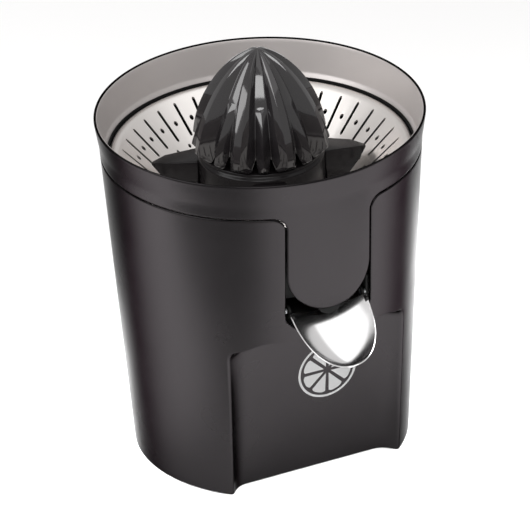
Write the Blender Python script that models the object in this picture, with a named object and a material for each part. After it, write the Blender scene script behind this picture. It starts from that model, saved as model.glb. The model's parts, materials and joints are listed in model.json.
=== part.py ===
"""Electric citrus press: a tapered round base with a geared motor, a lift-off juice collector with a tilting
pouring spout, a perforated strainer, a pulp sweeper and a ribbed reamer cone that starts the motor when pressed.

+Z is up, the spout points along -Y, and the origin is on the drive axis at the height of the table.
Lengths below are in millimetres and angles in degrees; meshes are written in metres.
"""

import math

import bmesh
import bpy
from mathutils import Matrix, Vector

MM = 0.001

# Driving dimensions -------------------------------------------------------------------------------------
BODY_FOOT_RADIUS = 74.1
BODY_TAPER = 0.0625
BODY_WALL = 1.8
BODY_BOTTOM = 1.0
BODY_TOP = 172.4
RIM_RADIUS = 87.5
RIM_TOP = 193.5
SEAM = 0.5
FIT_GAP = 0.3
CLOSE_GAP = 0.2
ROUND = 48

SLOT_HALF_WIDTH = 24.7
SLOT_BOTTOM = 101.8
SLOT_SHOULDER = 6.5
SLOT_CORNER = (22.0, 11.0)
TONGUE_HALF_WIDTH = 23.9
TONGUE_BOTTOM = 114.0
TONGUE_BEND = 137.3
TONGUE_THICKNESS = 2.0

RECESS_FLOOR = 48.0
RECESS_LEAN = 0.1
RECESS_HALF_WIDTH = 37.5
RECESS_TOP = 90.0

MOTOR_AXIS = 12.0
IDLER_AXIS = 36.0

SPOUT_PIVOT = (0.0, -72.3, 113.7)
SPOUT_ROOT = (0.0, -76.2, 114.1)
SPOUT_SLOPE = 37.5

SHAFT_BOTTOM = 58.3
SHAFT_TOP = 183.5
SHAFT_RADIUS = 4.5
SHAFT_FLATS = 8.0

CONE_BASE = 172.6
CONE_HEIGHT = 57.0
CONE_RADIUS = 37.6

# Colours: (red, green, blue), metallic, roughness -----------------------------------------------------------
FINISHES = {
    "anthracite": ((0.075, 0.068, 0.072), 0.85, 0.38),
    "stainless": ((0.78, 0.75, 0.73), 1.0, 0.3),
    "polished_steel": ((0.85, 0.85, 0.86), 1.0, 0.08),
    "gloss_black": ((0.018, 0.016, 0.018), 0.0, 0.1),
    "black_plastic": ((0.02, 0.02, 0.02), 0.0, 0.5),
    "rubber": ((0.015, 0.015, 0.015), 0.0, 0.8),
    "lamination": ((0.22, 0.22, 0.24), 0.9, 0.5),
    "copper": ((0.62, 0.27, 0.12), 0.9, 0.35),
    "bronze": ((0.55, 0.4, 0.2), 0.9, 0.4),
    "nylon": ((0.82, 0.8, 0.72), 0.0, 0.45),
    "zinc": ((0.62, 0.63, 0.65), 1.0, 0.35),
}


# Shared modelling helpers -----------------------------------------------------------------------------------
def clear_scene():
    for old in list(bpy.data.objects):
        bpy.data.objects.remove(old, do_unlink=True)


def finish(name):
    """The Principled material of that name, made once."""
    if name in bpy.data.materials:
        return bpy.data.materials[name]
    colour, metallic, roughness = FINISHES[name]
    material = bpy.data.materials.new(name)
    material.use_nodes = True
    shader = material.node_tree.nodes["Principled BSDF"]
    shader.inputs["Base Color"].default_value = (*colour, 1.0)
    shader.inputs["Metallic"].default_value = metallic
    shader.inputs["Roughness"].default_value = roughness
    return material


def place(name, mesh, material, at):
    """An object of this mesh with its origin at the point `at`; None makes a hidden cutter."""
    obj = bpy.data.objects.new(name, mesh)
    bpy.context.scene.collection.objects.link(obj)
    obj.location = Vector(at) * MM
    if material is None:
        obj.hide_render = True
        obj.display_type = "WIRE"
        return obj
    mesh.materials.append(finish(material))
    return obj


def mesh_from(name, points, faces):
    """A closed mesh from points in millimetres, with its faces turned outwards."""
    shape = bmesh.new()
    verts = [shape.verts.new(Vector(point) * MM) for point in points]
    for face in faces:
        shape.faces.new([verts[i] for i in face])
    bmesh.ops.recalc_face_normals(shape, faces=shape.faces)
    mesh = bpy.data.meshes.new(name)
    shape.to_mesh(mesh)
    shape.free()
    mesh.shade_smooth()
    mesh.set_sharp_from_angle(angle=math.radians(30))
    return mesh


def loft(name, loops, material=None, at=(0, 0, 0), closed=False):
    """A solid through loops of equal length: capped at both ends, or joined end to end if closed."""
    count = len(loops[0])
    points = [point for loop in loops for point in loop]
    faces = []
    last = len(loops) if closed else len(loops) - 1
    for row in range(last):
        here = row * count
        there = (row + 1) % len(loops) * count
        for i in range(count):
            j = (i + 1) % count
            faces.append((here + i, here + j, there + j, there + i))
    if not closed:
        faces.append(tuple(range(count)))
        faces.append(tuple(range((len(loops) - 1) * count, len(points))))
    return place(name, mesh_from(name, points, faces), material, at)


def turned(name, profile, material=None, at=(0, 0, 0), segments=ROUND, axis="Z"):
    """A solid turned about an axis from a closed (radius, height) outline; radius 0 is on the axis."""
    points = []
    rings = []
    for radius, height in profile:
        if radius == 0:
            rings.append([len(points)] * segments)
            points.append((0, 0, height))
            continue
        rings.append(list(range(len(points), len(points) + segments)))
        for i in range(segments):
            angle = 2 * math.pi * i / segments
            points.append((radius * math.cos(angle), radius * math.sin(angle), height))
    if axis == "Y":
        points = [(x, z, -y) for x, y, z in points]
    if axis == "X":
        points = [(z, y, -x) for x, y, z in points]
    faces = []
    for here, there in zip(rings, rings[1:] + rings[:1]):
        for i in range(segments):
            j = (i + 1) % segments
            corners = list(dict.fromkeys((here[i], here[j], there[j], there[i])))
            if len(corners) > 2:
                faces.append(corners)
    return place(name, mesh_from(name, points, faces), material, at)


def tube(name, inner, outer, low, high, material, at=(0, 0, 0), segments=ROUND):
    profile = [(outer, low), (outer, high), (inner, high), (inner, low)]
    return turned(name, profile, material, at, segments)


def rod(name, radius, low, high, material=None, at=(0, 0, 0), segments=24, axis="Z"):
    profile = [(0, low), (radius, low), (radius, high), (0, high)]
    return turned(name, profile, material, at, segments, axis)


def prism(name, outline, low, high, material=None, at=(0, 0, 0)):
    """An outline of (x, y) points raised from one height to another."""
    loops = [[(x, y, height) for x, y in outline] for height in (low, high)]
    return loft(name, loops, material, at)


def facing_prism(name, outline, near, far, material=None, at=(0, 0, 0)):
    """An outline of (x, z) points carried along Y."""
    loops = [[(x, depth, z) for x, z in outline] for depth in (near, far)]
    return loft(name, loops, material, at)


def block(name, low, high, material=None, at=(0, 0, 0)):
    """A box between two corners."""
    outline = [(low[0], low[1]), (high[0], low[1]), (high[0], high[1]), (low[0], high[1])]
    return prism(name, outline, low[2], high[2], material, at)


def combine(target, other, operation):
    other.hide_render = True
    other.display_type = "WIRE"
    other.parent = target.parent
    modifier = target.modifiers.new(operation.lower(), "BOOLEAN")
    modifier.operation = operation
    modifier.solver = "EXACT"
    modifier.object = other
    return target


def cut(target, cutter):
    return combine(target, cutter, "DIFFERENCE")


def add(target, other):
    return combine(target, other, "UNION")


def arc(centre, radii, start, end, steps):
    """Points on an elliptical arc, from one angle to the other, both ends included."""
    found = []
    for i in range(steps + 1):
        angle = math.radians(start + (end - start) * i / steps)
        found.append((centre[0] + radii[0] * math.cos(angle), centre[1] + radii[1] * math.sin(angle)))
    return found


def mirrored(half):
    """A half outline on the +X side, top to bottom, and its mirror image back up."""
    return half + [(-x, z) for x, z in reversed(half)]


def polygon(radius, count, turn=0.0):
    return arc((0, 0), (radius, radius), turn, turn + 360 * (count - 1) / count, count - 1)


def hexagon(flats):
    return polygon(flats / math.sqrt(3), 6)


def body_radius(height):
    return BODY_FOOT_RADIUS + BODY_TAPER * height


# Housing ----------------------------------------------------------------------------------------------------
RECESS_STEPS = (
    # depth in front of the recess floor, growth of the half width, growth of the height
    (0.0, 0.0, 0.0),
    (0.4, 3.8, 2.4),
    (1.3, 6.8, 4.2),
    (2.8, 9.8, 5.6),
    (4.6, 12.2, 6.3),
    (6.4, 13.8, 6.8),
    (8.2, 14.8, 7.2),
    (60.0, 18.0, 8.5),
)
RECESS_CORNER = 7.0
SCREW_CIRCLE = 66.8
SCREW_ANGLES = (35.0, 145.0, 215.0, 325.0)
BOSS_RADIUS = 7.0
BOSS_LOW = 4.3
BOSS_HIGH = 18.0
INLET_HEIGHT = 15.0
INLET_RADIUS = 5.3


def recess_block(name, grow):
    """The space of the flat cup recess in the lower front, grown on its inner side by a wall."""
    loops = []
    for depth, wider, higher in RECESS_STEPS:
        half = RECESS_HALF_WIDTH + wider + grow
        top = RECESS_TOP + higher + grow
        low = -RECESS_CORNER
        corner = arc((half - RECESS_CORNER, top - RECESS_CORNER), (RECESS_CORNER, RECESS_CORNER), 90, 0, 5)
        outline = mirrored(corner + [(half, low)])
        loops.append([(x, grow - RECESS_FLOOR - RECESS_LEAN * z - depth, z) for x, z in outline])
    return loft(name, loops)


def slot_outline(half_width, shoulder, corner, bottom, top):
    """U-shaped outline, open at the top, whose upper corners flare by a rounded shoulder."""
    flare = half_width + shoulder
    half = [(flare, top + SLOT_SHOULDER), (flare, top)]
    half += arc((flare, top - shoulder), (shoulder, shoulder), 90, 180, 6)[1:]
    half += arc((half_width - corner[0], bottom + corner[1]), corner, 0, -90, 7)
    return mirrored(half)


def screw_places():
    for angle in SCREW_ANGLES:
        turn = math.radians(angle)
        yield SCREW_CIRCLE * math.cos(turn), SCREW_CIRCLE * math.sin(turn)


def build_housing():
    edge = 0.7
    low, high = BODY_BOTTOM, BODY_TOP
    housing = turned(
        "housing",
        [
            (0, low),
            (body_radius(low) - edge, low),
            (body_radius(low + edge), low + edge),
            (body_radius(high - edge), high - edge),
            (body_radius(high) - edge, high),
            (0, high),
        ],
        "anthracite",
        segments=60,
    )
    below, above = low - BOSS_LOW, high + BOSS_LOW
    cavity = turned(
        "housing_cavity",
        [
            (0, below),
            (body_radius(below) - BODY_WALL, below),
            (body_radius(above) - BODY_WALL, above),
            (0, above),
        ],
    )
    cut(cavity, recess_block("recess_wall", BODY_WALL))
    for number, (x, y) in enumerate(screw_places(), 1):
        cut(cavity, rod(f"boss_{number}", BOSS_RADIUS, BOSS_LOW, BOSS_HIGH, at=(x, y, 0)))
    cut(housing, recess_block("recess_space", 0.0))
    cut(housing, cavity)
    outline = slot_outline(SLOT_HALF_WIDTH, SLOT_SHOULDER, SLOT_CORNER, SLOT_BOTTOM, BODY_TOP)
    cut(housing, facing_prism("spout_slot", outline, -RIM_RADIUS - 10, -60))
    for number, (x, y) in enumerate(screw_places(), 1):
        cut(housing, rod(f"boss_bore_{number}", 1.7, 0, BOSS_HIGH - 2, at=(x, y, 0), segments=12))
    inlet = rod("inlet_hole", INLET_RADIUS, 60, 90, at=(0, 0, INLET_HEIGHT), axis="Y")
    cut(housing, inlet)


# Base cover, its feet and its screws ----------------------------------------------------------------------------
COVER_LOW = 1.5
COVER_HIGH = 4.0
COVER_RADIUS = 71.9
COVER_FRONT = -45.0
PAD_RADIUS = 12.0
PAD_LOW = 1.3
FOOT_PLACES = {
    "foot_front_left": (-38.0, -30.0),
    "foot_front_right": (38.0, -30.0),
    "foot_rear_left": (-40.0, 40.0),
    "foot_rear_right": (40.0, 40.0),
}
FOOT_RADIUS = 7.5
FOOT_STEM = 2.4
VENT_LENGTH = 36.0
VENT_WIDTH = 3.0
VENT_ROWS = (20.0, 30.0, 40.0, 50.0)


def build_base_cover():
    edge = 0.5
    profile = [
        (0, PAD_LOW),
        (PAD_RADIUS, PAD_LOW),
        (PAD_RADIUS, COVER_LOW),
        (COVER_RADIUS - edge, COVER_LOW),
        (COVER_RADIUS, COVER_LOW + edge),
        (COVER_RADIUS, COVER_HIGH),
        (0, COVER_HIGH),
    ]
    cover = turned("base_cover", profile, "black_plastic")
    cut(cover, block("cover_front_cut", (-80, -90, 0), (80, COVER_FRONT, 6)))
    for number, row in enumerate(VENT_ROWS, 1):
        half = VENT_LENGTH / 2
        cut(cover, block(f"vent_{number}", (-half, row, 0), (half, row + VENT_WIDTH, 6)))
    for name, (x, y) in FOOT_PLACES.items():
        hole = rod(f"{name}_hole", FOOT_STEM + FIT_GAP, 0, 6, at=(x, y, 0), segments=12)
        cut(cover, hole)
    for number, (x, y) in enumerate(screw_places(), 1):
        seat = [(0, 0), (3.1, 0), (3.1, 2.9), (1.8, 2.9), (1.8, 6), (0, 6)]
        cut(cover, turned(f"screw_seat_{number}", seat, at=(x, y, 0), segments=16))


def build_feet():
    for name, place_xy in FOOT_PLACES.items():
        top = COVER_LOW - FIT_GAP
        profile = [
            (0, 0),
            (FOOT_RADIUS - 0.6, 0),
            (FOOT_RADIUS, top / 2),
            (FOOT_RADIUS, top),
            (FOOT_STEM, top),
            (FOOT_STEM, COVER_HIGH + 1),
            (0, COVER_HIGH + 1),
        ]
        turned(name, profile, "rubber", at=(*place_xy, 0), segments=20)


def screw(name, head, shank, low, head_top, tip, at):
    """A pan-head screw pointing up, with a driver slot in the underside of its head."""
    profile = [(0, low), (head - 0.3, low), (head, low + 0.4), (head, head_top)]
    profile += [(shank, head_top), (shank, tip - shank), (0, tip)]
    made = turned(name, profile, "zinc", at=at, segments=12)
    half, deep = head * 0.6, low + (head_top - low) * 0.6
    cut(made, block(f"{name}_slot", (-half, -0.4, low - 1), (half, 0.4, deep), at=at))
    return made


def build_cover_screws():
    for number, (x, y) in enumerate(screw_places(), 1):
        screw(f"cover_screw_{number}", 2.7, 1.35, 1.7, 2.7, 14.0, (x, y, 0))


def build_cord_gland():
    """Grommet in the rear wall where a mains lead enters; its bore is open."""
    wall_out = body_radius(INLET_HEIGHT)
    wall_in = wall_out - BODY_WALL
    bore, neck, flange = 3.4, INLET_RADIUS - FIT_GAP, 7.4
    profile = [
        (bore, wall_in - 3),
        (neck + 1.2, wall_in - 3),
        (neck + 1.2, wall_in - 0.9),
        (neck, wall_in - 0.9),
        (neck, wall_out + 0.9),
        (flange, wall_out + 0.9),
        (flange - 0.8, wall_out + 2.8),
        (bore + 1.2, wall_out + 4.5),
        (bore, wall_out + 4.5),
    ]
    turned("cord_gland", profile, "rubber", at=(0, 0, INLET_HEIGHT), segments=24, axis="Y")


# Deck under the collector ---------------------------------------------------------------------------------------
DECK_LOW = 100.0
DECK_HIGH = 102.5
DECK_BOSS_TOP = 112.0
DECK_BOSS_RADIUS = 8.6
SEAL_POCKET = 106.7
SEAL_RADIUS = 6.6
GEARBOX_CORNERS = ((-26.0, -30.0), (26.0, -30.0), (-26.0, 58.0), (26.0, 58.0))
DECK_POST_LOW = 76.8


def build_deck():
    edge = body_radius(DECK_LOW) - BODY_WALL - FIT_GAP
    shaft_hole = SHAFT_RADIUS + 0.6
    profile = [
        (edge, DECK_LOW),
        (edge, DECK_HIGH),
        (DECK_BOSS_RADIUS, DECK_HIGH),
        (DECK_BOSS_RADIUS, DECK_BOSS_TOP),
        (SEAL_RADIUS + FIT_GAP, DECK_BOSS_TOP),
        (SEAL_RADIUS + FIT_GAP, SEAL_POCKET),
        (shaft_hole, SEAL_POCKET),
        (shaft_hole, DECK_LOW),
    ]
    deck = turned("deck", profile, "black_plastic")
    cut(deck, block("deck_notch", (-27, -90, 90), (27, -68, 110)))
    for number, (x, y) in enumerate(GEARBOX_CORNERS, 1):
        add(deck, rod(f"deck_post_{number}", 4.5, DECK_POST_LOW, DECK_LOW + 1, at=(x, y, 0), segments=16))
        cut(deck, rod(f"deck_bore_{number}", 1.8, DECK_POST_LOW - 2, 96, at=(x, y, 0), segments=12))


def build_shaft_seal():
    tube("shaft_seal", SHAFT_RADIUS + CLOSE_GAP, SEAL_RADIUS, SEAL_POCKET + FIT_GAP, 111.0, "rubber", segments=32)


# Gearbox frame ----------------------------------------------------------------------------------------------------
LOWER_PLATE = (46.0, 48.5)
UPPER_PLATE = (74.0, 76.5)
PLATE_HALF_WIDTH = 31.0
PLATE_FRONT = -35.0
PLATE_REAR = 63.0
PLATE_CORNER = 5.0
AXLE_RADIUS = 2.0
BUSHING_OUTER = 11.0
BUSHING_INNER = 9.1
BRIDGE_TOP = 58.2


def plate(name, levels):
    inset = PLATE_HALF_WIDTH - PLATE_CORNER
    centres = ((inset, PLATE_REAR - PLATE_CORNER, 0), (-inset, PLATE_REAR - PLATE_CORNER, 90))
    centres += ((-inset, PLATE_FRONT + PLATE_CORNER, 180), (inset, PLATE_FRONT + PLATE_CORNER, 270))
    outline = []
    for x, y, start in centres:
        outline += arc((x, y), (PLATE_CORNER, PLATE_CORNER), start, start + 90, 3)
    made = prism(name, outline, *levels, "zinc")
    for number, (x, y) in enumerate(GEARBOX_CORNERS, 1):
        cut(made, rod(f"{name}_hole_{number}", 1.8, 40, 80, at=(x, y, 0), segments=12))
    cut(made, rod(f"{name}_axle_hole", AXLE_RADIUS + FIT_GAP, 40, 80, at=(0, IDLER_AXIS, 0), segments=16))
    return made


def build_gearbox_frame():
    lower = plate("gear_plate_lower", LOWER_PLATE)
    cut(lower, rod("pinion_clearance", 6.0, 40, 50, at=(0, MOTOR_AXIS, 0)))
    upper = plate("gear_plate_upper", UPPER_PLATE)
    cut(upper, rod("bushing_seat", BUSHING_OUTER + FIT_GAP, 70, 80, segments=32))
    low, high = LOWER_PLATE[1] + FIT_GAP, UPPER_PLATE[0] - FIT_GAP
    for number, (x, y) in enumerate(GEARBOX_CORNERS, 1):
        tube(f"gearbox_post_{number}", 1.8, 3.6, low, high, "zinc", (x, y, 0), 12)
        screw(f"gearbox_screw_{number}", 3.0, 1.4, 43.7, LOWER_PLATE[0] - FIT_GAP, 94.0, (x, y, 0))
    flange = [
        (BUSHING_INNER, 73.0),
        (BUSHING_OUTER + 2.0, 73.0),
        (BUSHING_OUTER + 2.0, UPPER_PLATE[0] - FIT_GAP),
        (BUSHING_OUTER, UPPER_PLATE[0] - FIT_GAP),
        (BUSHING_OUTER, 79.5),
        (BUSHING_INNER, 79.5),
    ]
    turned("output_bushing", flange, "bronze", segments=32)
    rod("idler_axle", AXLE_RADIUS, 44.0, 78.5, "zinc", (0, IDLER_AXIS, 0), 16)


def build_bearing_bridge():
    """Strap over the start switch that carries the output gear."""
    span, width, leg = 15.0, 6.0, 1.4
    outline = [(-span, LOWER_PLATE[1] + FIT_GAP), (-span, BRIDGE_TOP), (span, BRIDGE_TOP)]
    outline += [(span, LOWER_PLATE[1] + FIT_GAP), (span - leg, LOWER_PLATE[1] + FIT_GAP)]
    outline += [(span - leg, BRIDGE_TOP - leg), (leg - span, BRIDGE_TOP - leg)]
    outline += [(leg - span, LOWER_PLATE[1] + FIT_GAP)]
    bridge = facing_prism("bearing_bridge", outline, -width, width, "zinc")
    cut(bridge, rod("bridge_hole", 5.6, 50, 60, segments=24))


# Start switch -----------------------------------------------------------------------------------------------------
SWITCH_TOP = 54.5
BUTTON_RADIUS = 1.5


def build_switch():
    low = LOWER_PLATE[1] + FIT_GAP
    switch = block("start_switch", (-10, -3.2, low), (10, 3.2, SWITCH_TOP), "black_plastic")
    cut(switch, rod("switch_bore", BUTTON_RADIUS + FIT_GAP, low + 0.4, SWITCH_TOP + 2, segments=12))
    rod("switch_button", BUTTON_RADIUS, 52.0, SHAFT_BOTTOM - FIT_GAP, "nylon", segments=12)


# Motor --------------------------------------------------------------------------------------------------------------
STACK_LOW = 16.0
STACK_HIGH = 36.0
ROTOR_RADIUS = 12.5
ROTOR_SHAFT_RADIUS = 2.0
PINION_LEVELS = (49.3, 55.5)


def build_stator():
    stator = block("motor_stator", (-24, -12, STACK_LOW), (40, 36, STACK_HIGH), "lamination")
    cut(stator, rod("rotor_bore", ROTOR_RADIUS + 0.5, 10, 40, at=(0, MOTOR_AXIS, 0), segments=48))
    cut(stator, block("coil_window", (18, -3, 10), (29.5, 27, 40)))
    coil = block("motor_coil", (19.5, -2, 9.5), (50, 26, 42.5), "copper")
    bevel = coil.modifiers.new("rounded", "BEVEL")
    bevel.width = 2.5 * MM
    bevel.segments = 2
    bevel.limit_method = "ANGLE"
    leg = block("coil_core", (29.5 - FIT_GAP, -10, STACK_LOW - FIT_GAP), (40.3, 34, STACK_HIGH + FIT_GAP))
    cut(coil, leg)


def motor_bracket(name, far, near, bushing_name):
    """Strap across the stack, standing off it by a leg at each end, with a sleeve bearing in its middle."""
    sheet = 2.0 if far > near else -2.0
    outline_low, outline_high = sorted((far, far - sheet))
    strap = block(name, (-9, -12, outline_low), (9, 36, outline_high), "zinc")
    leg_low, leg_high = sorted((near, far - sheet / 2))
    add(strap, block(f"{name}_leg_a", (-9, -12, leg_low), (9, -10, leg_high)))
    add(strap, block(f"{name}_leg_b", (-9, 34, leg_low), (9, 36, leg_high)))
    hole = rod(f"{name}_hole", 4.5, outline_low - 3, outline_high + 3, at=(0, MOTOR_AXIS, 0))
    cut(strap, hole)
    low, high = outline_low - 1.0, outline_high + 1.0
    inner = ROTOR_SHAFT_RADIUS + CLOSE_GAP
    tube(bushing_name, inner, 4.2, low, high, "bronze", (0, MOTOR_AXIS, 0), 16)


def build_motor():
    build_stator()
    motor_bracket("motor_bracket_upper", 43.0, STACK_HIGH + FIT_GAP, "rotor_bushing_upper")
    motor_bracket("motor_bracket_lower", 9.0, STACK_LOW - FIT_GAP, "rotor_bushing_lower")
    at = (0, MOTOR_AXIS, 0)
    bore = ROTOR_SHAFT_RADIUS + CLOSE_GAP
    tube("rotor_core", bore, ROTOR_RADIUS, STACK_LOW, STACK_HIGH, "lamination", at, 32)
    rod("rotor_shaft", ROTOR_SHAFT_RADIUS, 6.5, 56.2, "zinc", at, 16)
    gear("motor_pinion", 10, 0.8, PINION_LEVELS, bore, "bronze", at)


# Gear train -----------------------------------------------------------------------------------------------------------
IDLER_BIG = (49.3, 55.0)
IDLER_SMALL = (54.0, 70.5)
OUTPUT_LEVELS = (62.0, 69.0)
OUTPUT_HUB = (BRIDGE_TOP + FIT_GAP, 80.2)
HUB_RADIUS = 8.8


def tooth_outline(teeth, module, turn):
    """Trapezoid teeth with play; a tooth is centred on the angle `turn`."""
    pitch_radius = teeth * module / 2
    root, tip = pitch_radius - 1.15 * module, pitch_radius + 0.85 * module
    pitch_angle = 360 / teeth
    outline = []
    for i in range(teeth):
        centre = turn + i * pitch_angle
        for share, radius in ((-0.30, root), (-0.11, tip), (0.11, tip), (0.30, root)):
            angle = math.radians(centre + share * pitch_angle)
            outline.append((radius * math.cos(angle), radius * math.sin(angle)))
    return outline


def gear(name, teeth, module, levels, bore, material, at, turn=0.0):
    wheel = prism(name, tooth_outline(teeth, module, turn), *levels, material, at)
    cut(wheel, rod(f"{name}_bore", bore, 40, 90, at=at, segments=24))
    return wheel


def build_gear_train():
    """The idler lies behind the output gear, and the motor between them: all three axes are on one line."""
    idler_at = (0, IDLER_AXIS, 0)
    idler = prism("idler_gear", tooth_outline(50, 0.8, -90.0), *IDLER_BIG, "nylon", idler_at)
    small = prism("idler_pinion_teeth", tooth_outline(12, 1.2, -90.0), *IDLER_SMALL, None, idler_at)
    add(idler, small)
    cut(idler, rod("idler_bore", AXLE_RADIUS + CLOSE_GAP, 40, 90, at=idler_at, segments=24))
    half_pitch = 360 / 48 / 2
    output = prism("output_gear", tooth_outline(48, 1.2, 90.0 + half_pitch), *OUTPUT_LEVELS, "nylon")
    add(output, rod("output_hub", HUB_RADIUS, *OUTPUT_HUB, segments=32))
    cut(output, prism("output_hex", hexagon(SHAFT_FLATS + 0.5), 50, 90))


# Drive shaft and its return spring ------------------------------------------------------------------------------------
SPRING_LEVELS = (81.3, 92.2)
SPRING_RADIUS = 6.9
SPRING_WIRE = 0.7
SPRING_TURNS = 4
SPRING_SIDES = 5
SPRING_STEPS = 10


def build_drive_shaft():
    low_hex, high_hex = 84.0, 150.0
    shaft = rod("drive_shaft", SHAFT_RADIUS, low_hex - 1, high_hex + 1, "zinc", segments=24)
    add(shaft, prism("shaft_lower_hex", hexagon(SHAFT_FLATS), SHAFT_BOTTOM, low_hex))
    add(shaft, prism("shaft_upper_hex", hexagon(SHAFT_FLATS), high_hex, SHAFT_TOP))
    tube("shaft_clip", SHAFT_RADIUS + FIT_GAP, 8.6, 93.3, 95.3, "zinc", segments=20)


def build_return_spring():
    low, high = SPRING_LEVELS
    loops = []
    total = SPRING_TURNS * SPRING_STEPS
    for step in range(total + 1):
        angle = 2 * math.pi * step / SPRING_STEPS
        height = low + (high - low) * step / total
        ring = []
        for side in range(SPRING_SIDES):
            across = 2 * math.pi * side / SPRING_SIDES
            radius = SPRING_RADIUS + SPRING_WIRE * math.cos(across)
            lift = height + SPRING_WIRE * math.sin(across)
            ring.append((radius * math.cos(angle), radius * math.sin(angle), lift))
        loops.append(ring)
    loft("return_spring", loops, "zinc")


# Collector: outer shell with its tongue, and the juice bowl ---------------------------------------------------------
SHELL_LOW = BODY_TOP + SEAM
SHELL_CREASE = 178.5


def build_collector_shell():
    """Band above the housing's seam. A U-shaped tongue hangs from it into the housing's slot."""
    skirt_low = TONGUE_BOTTOM - 4
    profile = [
        (body_radius(skirt_low), skirt_low),
        (body_radius(SHELL_CREASE), SHELL_CREASE),
        (86.2, 184.5),
        (RIM_RADIUS - 0.3, 191.2),
        (RIM_RADIUS, 192.6),
        (RIM_RADIUS - 0.25, 193.25),
        (RIM_RADIUS - 0.6, RIM_TOP),
        (RIM_RADIUS - 0.95, 193.25),
        (RIM_RADIUS - 1.1, 191.2),
        (85.3, 184.5),
        (84.4, SHELL_CREASE),
        (84.1, 174.6),
        (body_radius(173.2) - TONGUE_THICKNESS, 173.2),
        (body_radius(skirt_low) - TONGUE_THICKNESS, skirt_low),
    ]
    shell = turned("collector_shell", profile, "anthracite")
    around = RIM_RADIUS + 10
    spare = block("shell_trim", (-around, -around, skirt_low - 5), (around, around, SHELL_LOW))
    gap = SLOT_HALF_WIDTH - TONGUE_HALF_WIDTH
    bend = (0, TONGUE_BEND)
    flare = SLOT_HALF_WIDTH + SLOT_SHOULDER
    shoulder = SLOT_SHOULDER + gap
    half = [(flare, SHELL_LOW + 5)]
    half += arc((flare, BODY_TOP - SLOT_SHOULDER), (shoulder, shoulder), 90, 180, 6)
    half += arc(bend, (TONGUE_HALF_WIDTH, TONGUE_BEND - TONGUE_BOTTOM), 0, -90, 10)[:-1]
    outline = half + [(0, TONGUE_BOTTOM)] + [(-x, z) for x, z in reversed(half)]
    cut(spare, facing_prism("tongue_outline", outline, -around - 5, -50))
    cut(shell, spare)


CHIMNEY_TOP = 158.5
CHIMNEY_RADIUS = 11.6
CHIMNEY_BORE = 10.0
BOWL_FLOOR = 118.0
EAR_INNER = 23.3
EAR_OUTER = 25.2


def build_collector_liner():
    """Light metal wall that lines the band of the collector, from the ledge to just inside the rim."""
    profile = [
        # outside, from the rim down
        (86.15, 192.6),
        (84.95, 184.5),
        (83.95, 178.5),
        (83.65, 174.8),
        (82.2, 172.9),
        (82.2, 166.2),
        # inner wall, from the foot up
        (81.2, 166.2),
        (81.2, 172.6),
        (82.9, 175.2),
        (83.3, 178.5),
        (84.2, 184.5),
        (85.4, 192.6),
        (85.8, 192.9),
    ]
    turned("collector_liner", profile, "stainless")


def build_juice_bowl():
    """Black bowl with a ledge for the strainer, a chimney round the shaft and an outlet duct above the spout."""
    profile = [
        # outside, from the ledge down
        (82.1, 165.8),
        (82.1, 164.9),
        (77.8, 164.2),
        (74.4, 128.0),
        (71.6, 119.0),
        (66.5, 116.4),
        (CHIMNEY_BORE, 117.2),
        # up the bore of the chimney and down its outside
        (CHIMNEY_BORE, CHIMNEY_TOP),
        (CHIMNEY_RADIUS, CHIMNEY_TOP),
        (CHIMNEY_RADIUS, 119.2),
        # floor and inner wall
        (66.0, BOWL_FLOOR),
        (70.4, 120.4),
        (73.0, 128.0),
        (76.4, 165.0),
        (77.2, 165.8),
    ]
    bowl = turned("juice_bowl", profile, "black_plastic")
    add(bowl, block("outlet_duct", (-12, -77, 116.8), (12, -66, 129.2)))
    add(bowl, block("drip_lip", (-6.2, -78.5, 109.9), (6.2, -76.7, 118.0)))
    pivot_y, pivot_z = SPOUT_PIVOT[1:]
    for side in (-1, 1):
        near, far = sorted((side * EAR_INNER, side * EAR_OUTER))
        ear = block(f"ear_{'left' if side < 0 else 'right'}", (near, -74.2, 109.5), (far, -66, 124))
        add(bowl, ear)
    cut(bowl, block("outlet_channel", (-10.2, -80, 118.3), (10.2, -58, 127.5)))
    hole = rod("ear_holes", 1.8, -30, 30, at=(0, pivot_y, pivot_z), segments=16, axis="X")
    cut(bowl, hole)


# Spout ------------------------------------------------------------------------------------------------------------------
SPOUT_HALF_WIDTH = 22.2
SPOUT_STRAIGHT = 1.4
SPOUT_SCOOP = 36.0
SPOUT_DEPTH = 5.8
SPOUT_THICKNESS = 0.9
SPOUT_ROWS = 11
SPOUT_COLUMNS = 14
SPOUT_ROUNDNESS = 2.2


def spout_point(along, across):
    """A point of the scoop's inner face: along 0 to 1 from the root to the lip, across -1 to 1."""
    reach = (SPOUT_STRAIGHT + SPOUT_SCOOP) * math.sin(along * math.pi / 2 * 0.97)
    inside = max(0.0, reach - SPOUT_STRAIGHT) / SPOUT_SCOOP
    share = (1 - inside**SPOUT_ROUNDNESS) ** (1 / SPOUT_ROUNDNESS)
    bend = math.sin(across * math.pi / 2)
    depth = SPOUT_DEPTH * share**0.75 * (1 - abs(bend) ** 2.4)
    slope = math.radians(SPOUT_SLOPE)
    forward = Vector((0, -math.cos(slope), -math.sin(slope)))
    down = Vector((0, math.sin(slope), -math.cos(slope)))
    start = Vector(SPOUT_ROOT) - Vector(SPOUT_PIVOT)
    return start + forward * reach + down * depth + Vector((SPOUT_HALF_WIDTH * share * bend, 0, 0))


def spout_normal(along, across):
    step = 0.01
    a = spout_point(min(along + step, 1), across) - spout_point(max(along - step, 0), across)
    b = spout_point(along, min(across + step, 1)) - spout_point(along, max(across - step, -1))
    return a.cross(b).normalized()


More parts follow.
